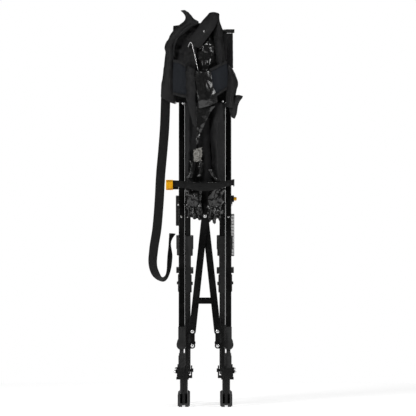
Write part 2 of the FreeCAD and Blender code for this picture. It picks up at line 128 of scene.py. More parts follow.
def spread(group, value, enter):
    """Map a mask to the two roughness limits."""
    return add(group, "ShaderNodeMapRange", Value=value, To_Min=enter.outputs["Low Rough"],
               To_Max=enter.outputs["High Rough"]).outputs["Result"]


def powder_coat(group, enter, place):
    """Fine orange peel with rubbed patches and a little dust."""
    peel = add(group, "ShaderNodeTexNoise", Vector=place, Scale=enter.outputs["Scale"],
               Detail=3.0)
    rubbed = add(group, "ShaderNodeTexNoise", Vector=place, Scale=14.0, Detail=6.0,
                 Roughness=0.65)
    patches = add(group, "ShaderNodeMapRange", Value=rubbed.outputs[0], From_Min=0.42,
                  From_Max=0.68)
    return peel.outputs[0], patches.outputs[0], spread(group, patches.outputs[0], enter), 0.0004


def moulded(group, enter, place):
    """Spark-eroded mould grain with scuffs."""
    grain = add(group, "ShaderNodeTexVoronoi", Vector=place, Scale=enter.outputs["Scale"])
    scuffs = add(group, "ShaderNodeTexNoise", Vector=place, Scale=35.0, Detail=8.0,
                 Roughness=0.7)
    marks = add(group, "ShaderNodeMapRange", Value=scuffs.outputs[0], From_Min=0.45,
                From_Max=0.75)
    worn = spread(group, marks.outputs[0], enter)
    return grain.outputs["Distance"], marks.outputs[0], worn, 0.0003


def weave(group, enter, place):
    """Crossed threads over soft creases; the tint follows the crease height, so there is
    painted shade in the crease hollows and painted light on the ridges.
    """
    warp = add(group, "ShaderNodeTexWave", {"bands_direction": "X"}, Vector=place,
               Scale=enter.outputs["Scale"], Distortion=0.6, Detail=1.0)
    weft = add(group, "ShaderNodeTexWave", {"bands_direction": "Z"}, Vector=place,
               Scale=enter.outputs["Scale"], Distortion=0.6, Detail=1.0)
    threads = add(group, "ShaderNodeMath", {"operation": "MULTIPLY"}, i0=warp.outputs["Fac"],
                  i1=weft.outputs["Fac"])
    creases = add(group, "ShaderNodeTexNoise", Vector=place, Scale=22.0, Detail=5.0,
                  Roughness=0.55)
    lift = add(group, "ShaderNodeMath", {"operation": "MULTIPLY_ADD"}, i0=creases.outputs[0],
               i1=6.0, i2=threads.outputs[0])
    # Tint from the crease noise, as the height is: painted shade in the hollows, painted light
    # on the ridges.
    mixed = add(group, "ShaderNodeMath", {"operation": "MULTIPLY_ADD"}, i0=threads.outputs[0],
                i1=0.35, i2=creases.outputs[0])
    return lift.outputs[0], mixed.outputs[0], spread(group, creases.outputs[0], enter), 0.0006


def coated(group, enter, place):
    """Crumpled coated cloth: sharp creases between small flat facets."""
    warped = add(group, "ShaderNodeTexNoise", Vector=place, Scale=18.0, Detail=2.0)
    moved = add(group, "ShaderNodeVectorMath", {"operation": "MULTIPLY_ADD"},
                i0=warped.outputs["Color"], i1=(0.03, 0.03, 0.03), i2=place)
    cracks = add(group, "ShaderNodeTexVoronoi", {"feature": "DISTANCE_TO_EDGE"},
                 Vector=moved.outputs[0], Scale=enter.outputs["Scale"])
    fine = add(group, "ShaderNodeTexNoise", Vector=place, Scale=160.0, Detail=4.0)
    lift = add(group, "ShaderNodeMath", {"operation": "MULTIPLY_ADD"}, i0=fine.outputs[0],
               i1=0.15, i2=cracks.outputs["Distance"])
    return lift.outputs[0], fine.outputs[0], spread(group, warped.outputs[0], enter), 0.004


def ribbed(group, enter, place):
    """Webbing: close ribs across the band with a duller thread between them."""
    ribs = add(group, "ShaderNodeTexWave", {"bands_direction": "Z"}, Vector=place,
               Scale=enter.outputs["Scale"], Distortion=0.3)
    threads = add(group, "ShaderNodeTexNoise", Vector=place, Scale=900.0, Detail=2.0)
    mixed = add(group, "ShaderNodeMath", {"operation": "MULTIPLY_ADD"}, i0=threads.outputs[0],
                i1=0.5, i2=ribs.outputs["Fac"])
    worn = spread(group, ribs.outputs["Fac"], enter)
    return mixed.outputs[0], threads.outputs[0], worn, 0.0006


def turned(group, enter, place):
    """Bright metal with fine turning lines."""
    lines = add(group, "ShaderNodeTexNoise", Vector=place, Scale=enter.outputs["Scale"],
                Detail=5.0)
    return lines.outputs[0], lines.outputs[0], spread(group, lines.outputs[0], enter), 0.0002


GROUPS = {build.__name__: surface_group(build.__name__, build, COMMON)
          for build in (powder_coat, moulded, weave, coated, ribbed, turned)}


def material(name, finish, dark, light, scale, relief, rough, **fixed):
    """One finish: two tints mixed by the group's mask, and its own fixed values."""
    made = bpy.data.materials.new(name)
    made.use_nodes = True
    tree = made.node_tree
    shader = tree.nodes["Principled BSDF"]
    group = tree.nodes.new("ShaderNodeGroup")
    group.node_tree = GROUPS[finish]
    for label, value in (("Scale", scale), ("Relief", relief), ("Low Rough", rough[0]),
                         ("High Rough", rough[1])):
        group.inputs[label].default_value = value
    tints = tree.nodes.new("ShaderNodeMix")
    tints.data_type = "RGBA"
    tints.inputs["A"].default_value = (*dark, 1)
    tints.inputs["B"].default_value = (*light, 1)
    tree.links.new(group.outputs["Tint"], tints.inputs["Factor"])
    tree.links.new(tints.outputs["Result"], shader.inputs["Base Color"])
    tree.links.new(group.outputs["Rough"], shader.inputs["Roughness"])
    tree.links.new(group.outputs["Normal"], shader.inputs["Normal"])
    for label, value in fixed.items():
        shader.inputs[label.replace("_", " ")].default_value = value
    return made


def grey(value, blue=1.0):
    return (value, value, value * blue)


TUBE = material("black_powder_coat", "powder_coat", grey(0.003), grey(0.006), 900, 0.12,
                (0.22, 0.36), Specular_IOR_Level=0.3)
MOULDING = material("grey_nylon", "moulded", grey(0.012), grey(0.024), 1400, 0.25, (0.45, 0.62))
CAP = material("black_nylon", "moulded", grey(0.008), grey(0.016), 1400, 0.25, (0.4, 0.55))
PAD = material("foot_rubber", "moulded", grey(0.022), grey(0.05), 900, 0.4, (0.6, 0.8))
STEEL = material("bright_steel", "turned", grey(0.55), grey(0.78), 900, 0.1, (0.18, 0.34),
                 Metallic=1.0)
DECK = material("deck_weave", "weave", grey(0.004), grey(0.010, 1.1), 520, 0.5, (0.6, 0.8),
                Sheen_Weight=0.0, Specular_IOR_Level=0.22)
COVER = material("cover_weave", "weave", grey(0.005), grey(0.013, 1.08), 520, 0.5,
                 (0.42, 0.68), Sheen_Weight=0.0, Specular_IOR_Level=0.3)
POCKET = material("pocket_cloth", "weave", (0.008, 0.010, 0.013), (0.018, 0.021, 0.027), 620,
                  0.55, (0.62, 0.8), Sheen_Weight=0.0, Specular_IOR_Level=0.22)
LINING = material("coated_lining", "coated", grey(0.005), grey(0.014), 42, 0.5, (0.16, 0.34),
                  Coat_Weight=0.2)
# Darkest, dullest cloth: painted shade, laid on the sheet at the back of the hood and on the
# recess between the falls.
PAINTED_SHADE_CLOTH = material("painted_shade_backing", "weave", grey(0.002), grey(0.006), 240, 0.9, (0.7, 0.9),
               Specular_IOR_Level=0.2)
WEBBING = material("strap_webbing", "ribbed", grey(0.004), grey(0.010), 300, 0.7, (0.55, 0.75),
                   Specular_IOR_Level=0.22)
YELLOW = material("amber_plastic", "moulded", (0.95, 0.46, 0.008), (1.0, 0.60, 0.02), 1200,
                  0.15, (0.25, 0.4), Coat_Weight=0.2)
TAG = material("pale_tag", "coated", (0.12, 0.115, 0.105), (0.42, 0.41, 0.38), 90, 0.9,
               (0.4, 0.6))
LABEL = material("label_film", "turned", grey(0.8), grey(0.95), 300, 0.05, (0.45, 0.6))
INK = material("label_ink", "turned", grey(0.12), grey(0.22), 300, 0.05, (0.5, 0.6))
FINISH_OF_SLOT = {"frame_black": TUBE, "grey_plastic": MOULDING, "black_plastic": CAP,
                  "pad_rubber": PAD, "rivet_steel": STEEL, "deck_cloth": DECK,
                  "cover_cloth": COVER, "webbing": WEBBING, "yellow_plastic": YELLOW}
for entry in frame["record"]["subparts"]:
    cad = frame["nodes"][entry["node"]]
    cad.data.materials.clear()
    cad.data.materials.append(FINISH_OF_SLOT[entry["material_slot"]])


# ---------------------------------------------------------------- making pieces
def piece_from(bm, name, finish, smooth=True):
    """Turn a bmesh into a named piece with its finish."""
    mesh = bpy.data.meshes.new(name)
    bm.to_mesh(mesh)
    bm.free()
    for face in mesh.polygons:
        face.use_smooth = smooth
    piece = bpy.data.objects.new(name, mesh)
    bpy.context.scene.collection.objects.link(piece)
    mesh.materials.append(finish)
    return piece


def on_curve(points, at):
    """Catmull-Rom through points, at from 0 to 1."""
    spans = len(points) - 1
    span = min(int(at * spans), spans - 1)
    t = at * spans - span
    a, b = points[max(span - 1, 0)], points[span]
    c, d = points[span + 1], points[min(span + 2, spans)]
    return 0.5 * (2 * b + (c - a) * t + (2 * a - 5 * b + 4 * c - d) * t ** 2
                  + (3 * b - a - 3 * c + d) * t ** 3)


def crease(place, size, seed):
    """Ridged folds, about -1 to 1, of the given size in metres."""
    q = place / size + Vector((seed * 3.7, seed * 1.3, seed * 2.1))
    return noise.ridged_multi_fractal(q, 0.9, 2.1, 3, 1.0, 1.7) - 1.1


def cloth(name, rows, finish, crumple=0.0015, size=0.05, seed=1, thick=0.0012, step=0.004,
          pleats=None):
    """A sheet through rows of places, top to bottom, each from left to right."""
    rows = [[spot(*place) for place in row] for row in rows]
    tall = sum((b[0] - a[0]).length for a, b in zip(rows, rows[1:]))
    wide = max(sum((b - a).length for a, b in zip(row, row[1:])) for row in rows)
    across, down = max(int(wide / step), 6), max(int(tall / step), 6)
    bm = bmesh.new()
    bmesh.ops.create_grid(bm, x_segments=across, y_segments=down, size=0.5)
    flat = {vert: (vert.co.x + 0.5, 0.5 - vert.co.y) for vert in bm.verts}
    for vert, (u, w) in flat.items():
        vert.co = on_curve([on_curve(row, u) for row in rows], w)
    bm.normal_update()
    moves = {}
    for vert, (u, w) in flat.items():
        lift = CREASE_GAIN * crumple * crease(vert.co, size, seed)
        lift += FINE_GAIN * crumple * crease(vert.co, size * FINE_SIZE, seed + 5)
        if pleats:
            count, deep = pleats
            lift += deep * math.sin(2 * math.pi * count * u + 2.0 * w)
        moves[vert] = vert.normal * lift
    for vert, move in moves.items():
        vert.co += move
    area = sum(face.calc_area() for face in bm.faces)
    piece = piece_from(bm, name, finish)
    shell = piece.modifiers.new("thickness", "SOLIDIFY")
    shell.thickness = thick
    shell.offset = 0
    smooth = piece.modifiers.new("smooth", "SUBSURF")
    smooth.levels = smooth.render_levels = 1
    # The flat length is worked back from the drawn area: it describes this mesh, and
    # isn't a cutting pattern.
    wide, length = max(wide, LEAST_FLAT), max(area / wide * FLAT_SPARE, LEAST_FLAT)
    return piece


def on_cover(piece):
    """Bake a cover piece's placement into its mesh."""
    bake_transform(piece)
    return piece


# ---------------------------------------------------------------- deck panels
def deck_panels():
    """Four pleated panels between the upper pivots."""
    rise, inset = 0.004, 0.0025
    for end in ENDS:
        for part in ("end", "mid"):
            low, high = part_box(f"deck_{end}_{part}")
            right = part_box(f"hem_{end}_{part}")[1][0]
            upright = pivot(f"deck_{end}_{part}")
            lean_end = -1 if (low[1] + high[1]) / 2 < upright.y else 1
            foot_y = low[1] if lean_end < 0 else high[1]
            top = Vector((0, upright.y, high[2] + rise))
            foot = Vector((0, foot_y - lean_end * inset, low[2] - DECK_REACH))
            across = (low[0], (low[0] * 2 + right) / 3, (low[0] + right * 2) / 3, right)
            places = [top.lerp(foot, share) for share in (0, 0.33, 0.66, 1)]
            rows = [[((x - MID_X) * 1000, (place.y - MID_Y) * 1000, place.z * 1000)
                     for x in across] for place in places]
            piece = cloth(f"deck_panel_{end}_{part}", rows, DECK, crumple=0.0004,
                          pleats=(7, 0.0014), step=0.003,
                          seed=len(end + part))
            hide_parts(f"deck_{end}_{part}", f"hem_{end}_{part}")
            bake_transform(piece)


# ---------------------------------------------------------------- end cover
def end_cover():
    """The cloth gathered at the near end, layer by layer from the back to the front."""
    # The backing is cut from the darkest cloth: painted shade for the hood's dark inside.
    backing = cloth("cover_backing", [
        [(-84, -126, 1002), (-28, -132, 1008), (20, -132, 1010), (44, -126, 1000)],
        [(-88, -124, 910), (-30, -130, 905), (22, -130, 905), (56, -124, 900)],
        [(-84, -122, 800), (-28, -122, 800), (24, -122, 800), (64, -122, 800)]],
        PAINTED_SHADE_CLOTH, crumple=0.003, size=0.045, seed=3)
    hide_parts("end_cover")
    on_cover(backing)

    hood = cloth("cover_hood_left", [
        [(-66, -138, 1041), (-58, -142, 1043), (-50, -144, 1043), (-42, -140, 1040)],
        [(-54, -142, 1022), (-46, -149, 1025), (-38, -151, 1025), (-29, -146, 1023)],
        [(-76, -142, 997), (-60, -153, 1003), (-44, -155, 1005), (-16, -148, 1009)],
        [(-94, -142, 972), (-84, -155, 982), (-68, -158, 990), (-40, -152, 992)],
        [(-108, -138, 948), (-101, -154, 950), (-92, -158, 954), (-82, -150, 956)],
        [(-105, -136, 918), (-99, -152, 918), (-92, -155, 920), (-84, -148, 922)],
        [(-111, -134, 862), (-102, -150, 862), (-92, -153, 862), (-80, -146, 860)],
        [(-119, -132, 816), (-106, -146, 808), (-92, -148, 800), (-76, -142, 795)]],
        COVER, crumple=0.0024, size=0.07, seed=4)
    on_cover(hood)
    on_cover(cloth("cover_hood_net", [
        [(-72, -134, 990), (-48, -140, 998), (-24, -138, 996)],
        [(-84, -132, 950), (-52, -139, 950), (-22, -140, 945)],
        [(-84, -134, 905), (-58, -143, 893), (-26, -142, 880)]],
        COVER, crumple=0.004, size=0.03, seed=8))
    on_cover(cloth("cover_hood_hem", [
        [(-30, -150, 1009), (-28, -151, 1005)],
        [(-52, -157, 996), (-50, -158, 991)],
        [(-74, -156, 974), (-70, -157, 970)],
        [(-84, -153, 946), (-79, -154, 944)],
        [(-85, -151, 920), (-80, -152, 919)]],
        COVER, crumple=0.0004, seed=2, step=0.003))

    on_cover(cloth("cover_flap_right", [
        [(12, -140, 1034), (24, -150, 1037), (36, -146, 1034)],
        [(-6, -148, 1016), (12, -160, 1010), (30, -158, 1004)],
        [(-28, -152, 985), (-8, -162, 978), (14, -160, 978)],
        [(-50, -148, 952), (-33, -157, 947), (-14, -154, 942)]],
        COVER, crumple=0.0014, size=0.06, seed=6))
    wall = cloth("cover_wall_right", [
        [(26, -138, 1030), (31, -146, 1034), (37, -142, 1032)],
        [(20, -142, 990), (36, -154, 996), (45, -136, 994)],
        [(26, -142, 950), (40, -156, 950), (49, -132, 948)],
        [(29, -142, 905), (44, -156, 904), (54, -130, 902)],
        [(28, -142, 876), (44, -155, 874), (58, -130, 872)]],
        COVER, crumple=0.0026, size=0.05, seed=7)
    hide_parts("end_cover_wing")
    on_cover(wall)
    on_cover(cloth("cover_lining_bag", [
        [(-12, -136, 992), (6, -142, 990), (28, -136, 985)],
        [(-20, -138, 945), (8, -150, 950), (32, -138, 948)],
        [(-14, -140, 900), (10, -152, 898), (34, -142, 902)],
        [(-10, -140, 878), (8, -146, 874), (30, -142, 876)]],
        LINING, crumple=0.0030, size=0.045, seed=12, step=0.003))

    on_cover(cloth("pocket_left", [
        [(-84, -152, 914), (-72, -161, 911), (-60, -163, 906), (-49, -158, 898)],
        [(-85, -153, 866), (-72, -163, 864), (-60, -164, 862), (-49, -160, 860)],
        [(-84, -150, 820), (-70, -160, 816), (-58, -162, 813), (-47, -158, 812)]],
        POCKET, crumple=0.0009, size=0.08, seed=14))
    on_cover(cloth("pocket_strip", [
        [(-51, -158, 897), (-38, -165, 892), (-26, -160, 885)],
        [(-52, -159, 850), (-38, -165, 848), (-25, -161, 842)],
        [(-48, -157, 806), (-36, -163, 800), (-24, -158, 790)],
        [(-31, -152, 745), (-28, -154, 736), (-24, -151, 727)]],
        COVER, crumple=0.0022, size=0.045, seed=15))
    on_cover(cloth("pocket_right", [
        [(12, -158, 888), (26, -164, 894), (40, -164, 902), (57, -154, 910)],
        [(15, -158, 852), (28, -164, 856), (42, -164, 862), (60, -154, 868)],
        [(22, -155, 812), (34, -161, 818), (46, -161, 826), (58, -152, 834)]],
        POCKET, crumple=0.0009, size=0.08, seed=16))
    on_cover(cloth("flap_middle", [
        [(-27, -160, 884), (-8, -168, 880), (14, -160, 884)],
        [(-24, -162, 845), (-2, -170, 845), (22, -160, 846)],
        [(-20, -160, 812), (4, -169, 812), (32, -158, 818)],
        [(-16, -154, 784), (8, -162, 790), (36, -152, 802)]],
        LINING, crumple=0.0014, size=0.08, seed=18))
    on_cover(cloth("flap_underside", [
        [(-22, -150, 792), (4, -156, 788), (28, -148, 792)],
        [(-22, -150, 752), (-6, -154, 756), (8, -148, 762)],
        [(-22, -148, 712), (-18, -150, 712), (-12, -148, 714)],
        [(-22, -146, 690), (-21, -147, 689), (-19, -146, 690)]],
        LINING, crumple=0.0018, size=0.045, seed=19))
    on_cover(cloth("bulge_right", [
        [(54, -144, 902), (64, -148, 900), (74, -130, 890)],
        [(56, -150, 862), (72, -156, 862), (85, -130, 858)],
        [(56, -150, 822), (74, -156, 820), (86, -130, 818)],
        [(52, -146, 790), (66, -152, 786), (80, -132, 784)]],
        COVER, crumple=0.0028, size=0.05, seed=21))
    on_cover(cloth("dog_ear", [
        [(74, -140, 818), (88, -146, 820), (100, -136, 817)],
        [(62, -142, 792), (78, -148, 794), (90, -138, 796)],
        [(70, -140, 760), (74, -142, 758), (79, -138, 757)]],
        COVER, crumple=0.002, size=0.03, seed=23))
    falls()


def falls():
    """Long panels below the pockets, the recess between them in the darkest cloth as painted
    shade, and the crumpled foot.
    """
    # The recess sheet behind the falls is painted shade: the darkest, dullest cloth.
    on_cover(cloth("fall_back", [
        [(-52, -112, 806), (0, -116, 806), (52, -112, 806)],
        [(-52, -110, 650), (0, -112, 650), (52, -110, 650)],
        [(-50, -104, 500), (0, -106, 494), (50, -104, 500)]],
        PAINTED_SHADE_CLOTH, crumple=0.003, size=0.05, seed=31, pleats=(3, 0.002)))
    on_cover(cloth("fall_left", [
        [(-51.5, -128, 800), (-46, -142, 800), (-34, -136, 800), (-18, -120, 800)],
        [(-51.5, -128, 700), (-45, -144, 700), (-36, -134, 700), (-22, -120, 700)],
        [(-51.5, -126, 620), (-46, -140, 612), (-38, -134, 606), (-28, -120, 606)],
        [(-50, -124, 590), (-46, -136, 582), (-40, -132, 578), (-34, -120, 576)]],
        COVER, crumple=0.0018, size=0.06, seed=33))
    on_cover(cloth("fall_right", [
        [(16, -120, 800), (30, -134, 800), (44, -142, 800), (53, -128, 800)],
        [(14, -120, 700), (28, -138, 700), (40, -132, 700), (53, -130, 700)],
        [(20, -120, 620), (32, -136, 616), (44, -134, 612), (53, -128, 614)],
        [(26, -120, 588), (34, -130, 584), (44, -136, 580), (51, -126, 584)]],
        COVER, crumple=0.0026, size=0.06, seed=35))
    on_cover(cloth("fall_middle", [
        [(-22, -124, 760), (-6, -128, 760), (12, -124, 760)],
        [(-18, -122, 670), (-2, -128, 670), (14, -122, 670)],
        [(-14, -122, 590), (0, -127, 588), (18, -122, 590)]],
        DECK, crumple=0.0022, size=0.05, seed=37))
    on_cover(cloth("tag_scrap", [
        [(-28, -140, 676), (-18, -148, 680), (-8, -142, 682)],
        [(-30, -140, 660), (-18, -150, 660), (-10, -142, 658)],
        [(-26, -140, 646), (-18, -146, 642), (-12, -140, 648)]],
        TAG, crumple=0.0055, size=0.012, seed=41, step=0.0015, thick=0.0006))
    strips = {"strip_left": [(-44, 646), (-36, 640), (-40, 600)],
              "strip_middle": [(-22, 648), (-12, 640), (-16, 604)],
              "strip_right": [(12, 624), (22, 606), (34, 594)]}
    for number, (name, line) in enumerate(strips.items()):
        on_cover(cloth(name, [[(x - 7, -136, z), (x, -146, z + 2), (x + 7, -138, z)]
                              for x, z in line],
                       LINING, crumple=0.002, size=0.022, seed=43 + number, step=0.0025))
    on_cover(cloth("fringe_left", [
        [(-54, -126, 592), (-44, -136, 590), (-26, -134, 592), (-8, -128, 592)],
        [(-52, -120, 550), (-40, -130, 548), (-24, -128, 548), (-8, -122, 548)],
        [(-50, -112, 506), (-43, -120, 496), (-36, -112, 507), (-29, -120, 493),
         (-22, -112, 503), (-15, -118, 490), (-8, -110, 499)]],
        LINING, crumple=0.005, size=0.03, seed=47, step=0.003))
    on_cover(cloth("fringe_right", [
        [(6, -128, 592), (22, -136, 592), (38, -136, 590), (52, -126, 590)],
        [(8, -122, 548), (22, -132, 550), (38, -130, 552), (50, -120, 550)],
        [(6, -110, 497), (12, -118, 485), (18, -112, 494), (25, -119, 480),
         (32, -112, 495), (39, -118, 486), (46, -110, 504)]],
        LINING, crumple=0.005, size=0.03, seed=49, step=0.003))


# ---------------------------------------------------------------- straps and buckle
def band(name, line, seed, finish=None):
    """Webbing or a bound hem through places, each with half of its width."""
    rows = [[(x, y, z + h) for x, y, z, h in line], [(x, y - 1.5, z) for x, y, z, h in line],
            [(x, y, z - h) for x, y, z, h in line]]
    return cloth(name, rows, finish or WEBBING, crumple=0.0004, size=0.03, seed=seed,
                 thick=0.002,
                 step=0.003)


def storage_strap():
    """The webbing that ties the bundle: the buckle's tail, and the band across the cover."""
    tail = band("storage_strap_tail", [
        (-70, -60, 584, 12), (-83, -62, 584, 12), (-84, -112, 584, 12), (-86, -132, 585, 11),
        (-82, -143, 587, 9), (-68, -146, 586, 9), (-54.2, -147.5, 584.5, 9)], 52)
    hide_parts("storage_strap")
    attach(tail, "outer_bar_near_left")
    on_cover(band("storage_strap_band", [
        (-54, -147.5, 584.5, 9), (-38, -149, 582, 9.5), (-14, -150, 578, 11),
        (22, -149, 580, 10), (52, -147, 586, 8), (72, -142, 590, 8), (76, -130, 590, 9),
        (76, -112, 589, 10)], 51))


def hems():
    """Bound edges of the two pockets, and the bright eyelets and rivets near them."""
    edges = {"pocket_left_top": [(-84, -154, 909), (-72, -163.5, 907), (-60, -165.5, 902),
                                 (-49, -160.5, 894)],
             "pocket_left_foot": [(-84, -152, 824), (-70, -162.5, 820), (-58, -164.5, 817),
                                  (-47, -160.5, 816)],
             "pocket_right_top": [(12, -160, 884), (26, -166.5, 890), (40, -166.5, 898),
                                  (57, -156.5, 906)],
             "pocket_right_foot": [(22, -157.5, 816), (34, -163.5, 822), (46, -163.5, 830),
                                   (58, -154.5, 838)]}
    for number, (name, line) in enumerate(edges.items()):
        on_cover(band(name, [(*place, 4) for place in line], 60 + number, COVER))
    for number, (x, y, z, body) in enumerate((
            (-76, -158, 799, COVER_LEFT), (-58, -165, 797, COVER_LEFT),
            (47, -163, 803, COVER_RIGHT), (-3, -163.5, 986, COVER_LEFT))):
        bm = bmesh.new()
        domed_head(bm, spot(x, y, z), (0, -1, 0), 0.0026, 0.0014)
        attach(piece_from(bm, f"eyelet_{number}", STEEL), body)
    for kind, side in (("outer", "left"), ("inner", "left"), ("outer", "right")):
        foot, top, up = bar_line(kind, "near", side)
        place = foot + up * ((0.5 - foot.z) / up.z) + Vector((0, -0.0092, 0))
        bm = bmesh.new()
        domed_head(bm, place, (0, -1, 0), 0.0028, 0.0014)
        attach(piece_from(bm, f"tube_rivet_{kind}_{side}", STEEL), f"{kind}_bar_near_{side}")


def carry_strap():
    """Long webbing from the hood's lower corner to a loose loop and back to the frame."""
    line = [(-103, -124, 826), (-106, -112, 742), (-111, -100, 676), (-117, -88, 610),
            (-121, -76, 540), (-127, -64, 470), (-136, -54, 412), (-138, -46, 372),
            (-128, -41, 345), (-111, -40, 334), (-98, -43, 350), (-93, -50, 392),
            (-93, -57, 430), (-86, -61, 456)]
    twist = [0, 0, 5, 8, 10, 12, 16, 25, 40, 62, 70, 60, 78, 50]
    places = [spot(*place) for place in line]
    rows = []
    for n, place in enumerate(places):
        run = (places[min(n + 1, len(line) - 1)] - places[max(n - 1, 0)]).normalized()
        across = run.cross(Vector((0, 1, 0))).normalized()
        across = Matrix.Rotation(math.radians(twist[n]), 3, run) @ across
        rows.append([(line[n][0] + across.x * s, line[n][1] + across.y * s,
                      line[n][2] + across.z * s) for s in (-12.5, 0, 12.5)])
    strap = cloth("carry_strap_band", rows, WEBBING, crumple=0.0003, size=0.05, seed=53,
                  thick=0.0018, step=0.003)
    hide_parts("carry_strap")
    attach(strap, COVER_LEFT)


def rounded_box(bm, low, high, round_by=0.0012, segments=2):
    """A box with bevelled edges between two corners."""
    made = bmesh.ops.create_cube(bm, size=1.0)["verts"]
    size, middle = Vector(high) - Vector(low), (Vector(high) + Vector(low)) / 2
    bmesh.ops.scale(bm, vec=size, verts=made)
    bmesh.ops.translate(bm, vec=middle, verts=made)
    edges = list({edge for vert in made for edge in vert.link_edges})
    bmesh.ops.bevel(bm, geom=edges, offset=round_by, affect="EDGES", segments=segments,
                    profile=0.5, material=-1)


def buckle():
    """Cam buckle: a frame with a ribbed mouth, and the lever over it."""
    low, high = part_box("buckle_body")
    bm = bmesh.new()
    wall = 0.003
    middle = (low[2] + high[2]) / 2
    rounded_box(bm, (low[0], low[1], low[2]), (high[0], high[1], low[2] + wall))
    rounded_box(bm, (low[0], low[1], high[2] - wall), (high[0], high[1], high[2]))
    rounded_box(bm, (low[0], low[1] + wall, low[2] + wall / 2),
                (low[0] + wall * 1.6, high[1], high[2] - wall / 2))
    rounded_box(bm, (high[0] - wall, low[1] + wall, middle - 0.0105),
                (high[0], high[1], middle + 0.0105))
    rounded_box(bm, (low[0] + wall, high[1] - wall, low[2] + wall / 2),
                (high[0] - wall, high[1], high[2] - wall / 2))
    body = piece_from(bm, "buckle_frame", YELLOW, smooth=False)
    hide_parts("buckle_body")
    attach(body, "outer_bar_near_left")

    low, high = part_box("buckle_lever")
    bm = bmesh.new()
    rounded_box(bm, low, (high[0], high[1], high[2]), 0.0014, 3)
    for n in range(4):
        x = low[0] + (high[0] - low[0]) * (0.35 + 0.16 * n)
        rounded_box(bm, (x, low[1] - 0.0008, low[2] + 0.002), (x + 0.0012, low[1] + 0.001,
                                                               high[2] - 0.002), 0.0003)
    lever = piece_from(bm, "buckle_cam_lever", YELLOW, smooth=False)
    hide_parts("buckle_lever")
    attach(lever, "buckle_lever")


# ---------------------------------------------------------------- metal and mouldings
def facing(way):
    """The turn from Z to a direction."""
    return Vector((0, 0, 1)).rotation_difference(Vector(way)).to_matrix().to_4x4()


def domed_head(bm, place, way, radius, rise):
    """A low dome, facing along way."""
    made = bmesh.ops.create_uvsphere(bm, u_segments=20, v_segments=10, radius=radius)["verts"]
    bmesh.ops.scale(bm, vec=(1, 1, rise / radius), verts=made)
    bmesh.ops.transform(bm, matrix=Matrix.Translation(place) @ facing(way), verts=made)


def nut(bm, place, way, radius, long):
    """A hexagon nut with a rounded tip, facing along way."""
    made = bmesh.ops.create_cone(bm, cap_ends=True, segments=6, radius1=radius,
                                 radius2=radius * 0.9, depth=long)["verts"]
    move = Matrix.Translation(Vector(place) + Vector(way) * long / 2)
    bmesh.ops.transform(bm, matrix=move @ facing(way), verts=made)
    domed_head(bm, Vector(place) + Vector(way) * long, way, radius * 0.62, radius * 0.6)


def rivets():
    """Bright heads on the pivots; each body keeps its own."""
    head, rise, sunk = 0.0047, 0.0019, 0.0004
    nut_reach, nut_radius, nut_high = 0.0142, 0.0046, 0.0036
    tab_deep, tab_drop, tab_sunk, tab_rise = 0.007, 0.038, 0.0006, 0.0008
    for end, front in ENDS.items():
        for side, way in SIDES.items():
            leg_low, leg_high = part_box(f"leg_{end}_{side}")
            foot = pivot(f"foot_{end}_{side}") if (end, side) != ("near", "right") \
                else pivot("outer_near_right")
            bm = bmesh.new()
            for hand in (-1, 1):
                nut(bm, foot + Vector((hand * nut_reach, 0, 0)), (hand, 0, 0), nut_radius,
                    nut_high)
            lower = pivot("foot_near_right") if (end, side) == ("near", "right") else \
                pivot(f"spreader_{end}_left")
            lower.x = MID_X + way * abs(lower.x - MID_X)
            face = leg_low[1] if front < 0 else leg_high[1]
            domed_head(bm, Vector((lower.x, face - front * sunk, lower.z)), (0, front, 0),
                       head, rise)
            tab = face - front * tab_deep
            domed_head(bm, Vector((lower.x, tab - front * tab_sunk, lower.z - tab_drop)),
                       (0, front, 0), head, rise + tab_rise)
            piece = piece_from(bm, f"leg_rivets_{end}_{side}", STEEL)
            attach(piece, f"foot_{end}_{side}")
        low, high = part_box(f"spreader_{end}_left")
        apex = pivot(f"spreader_apex_{end}")
        bm = bmesh.new()
        face = low[1] if front < 0 else high[1]
        domed_head(bm, Vector((apex.x, face - front * sunk, apex.z)), (0, front, 0),
                   head, rise)
        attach(piece_from(bm, f"apex_rivet_{end}", STEEL), f"spreader_{end}_left")


def bar_line(kind, end, side):
    """The foot and top pivots of a side bar, and its direction upwards."""
    outer = kind == "outer"
    foot = pivot("foot_far_left" if end == "far" else "foot_near_left") if outer else \
        pivot("inner_far_left" if end == "far" else "open_frame")
    top = pivot(f"deck_{end}_mid") if outer else pivot(f"deck_{end}_end")
    low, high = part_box(f"{kind}_tube_{end}_{side}")
    middle = (low[0] + high[0]) / 2
    foot.x = top.x = middle
    return foot, top, (top - foot).normalized()


def set_along(bm, place, way):
    """Turn what was built along Z to lie along a bar, and put it in place."""
    bmesh.ops.transform(bm, matrix=Matrix.Translation(place) @ facing(way), verts=bm.verts[:])


def sleeves():
    """Cloth sleeves sewn round the tubes' upper ends, where the deck is held."""
    long = {"outer": 0.09, "inner": 0.07}
    for end in ENDS:
        for side in SIDES:
            for kind in ("outer", "inner"):
                foot, top, up = bar_line(kind, end, side)
                bm = bmesh.new()
                bmesh.ops.create_cone(bm, cap_ends=False, segments=28, radius1=0.0131,
                                      radius2=0.0122, depth=long[kind])
                sides = [edge for edge in bm.edges
                         if abs(edge.verts[0].co.z - edge.verts[1].co.z) > 0.01]
                bmesh.ops.subdivide_edges(bm, edges=sides, cuts=18)
                for vert in bm.verts:
                    swell = 1 + 0.06 * noise.noise(vert.co * 70 + foot * 9)
                    vert.co.x *= 0.92 * swell
                    vert.co.y *= swell
                set_along(bm, top - up * (long[kind] / 2 - 0.009), up)
                piece = piece_from(bm, f"{kind}_sleeve_{end}_{side}", DECK)
                shell = piece.modifiers.new("thickness", "SOLIDIFY")
                shell.thickness = 0.0014
                shell.offset = 0
                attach(piece, f"{kind}_bar_{end}_{side}")


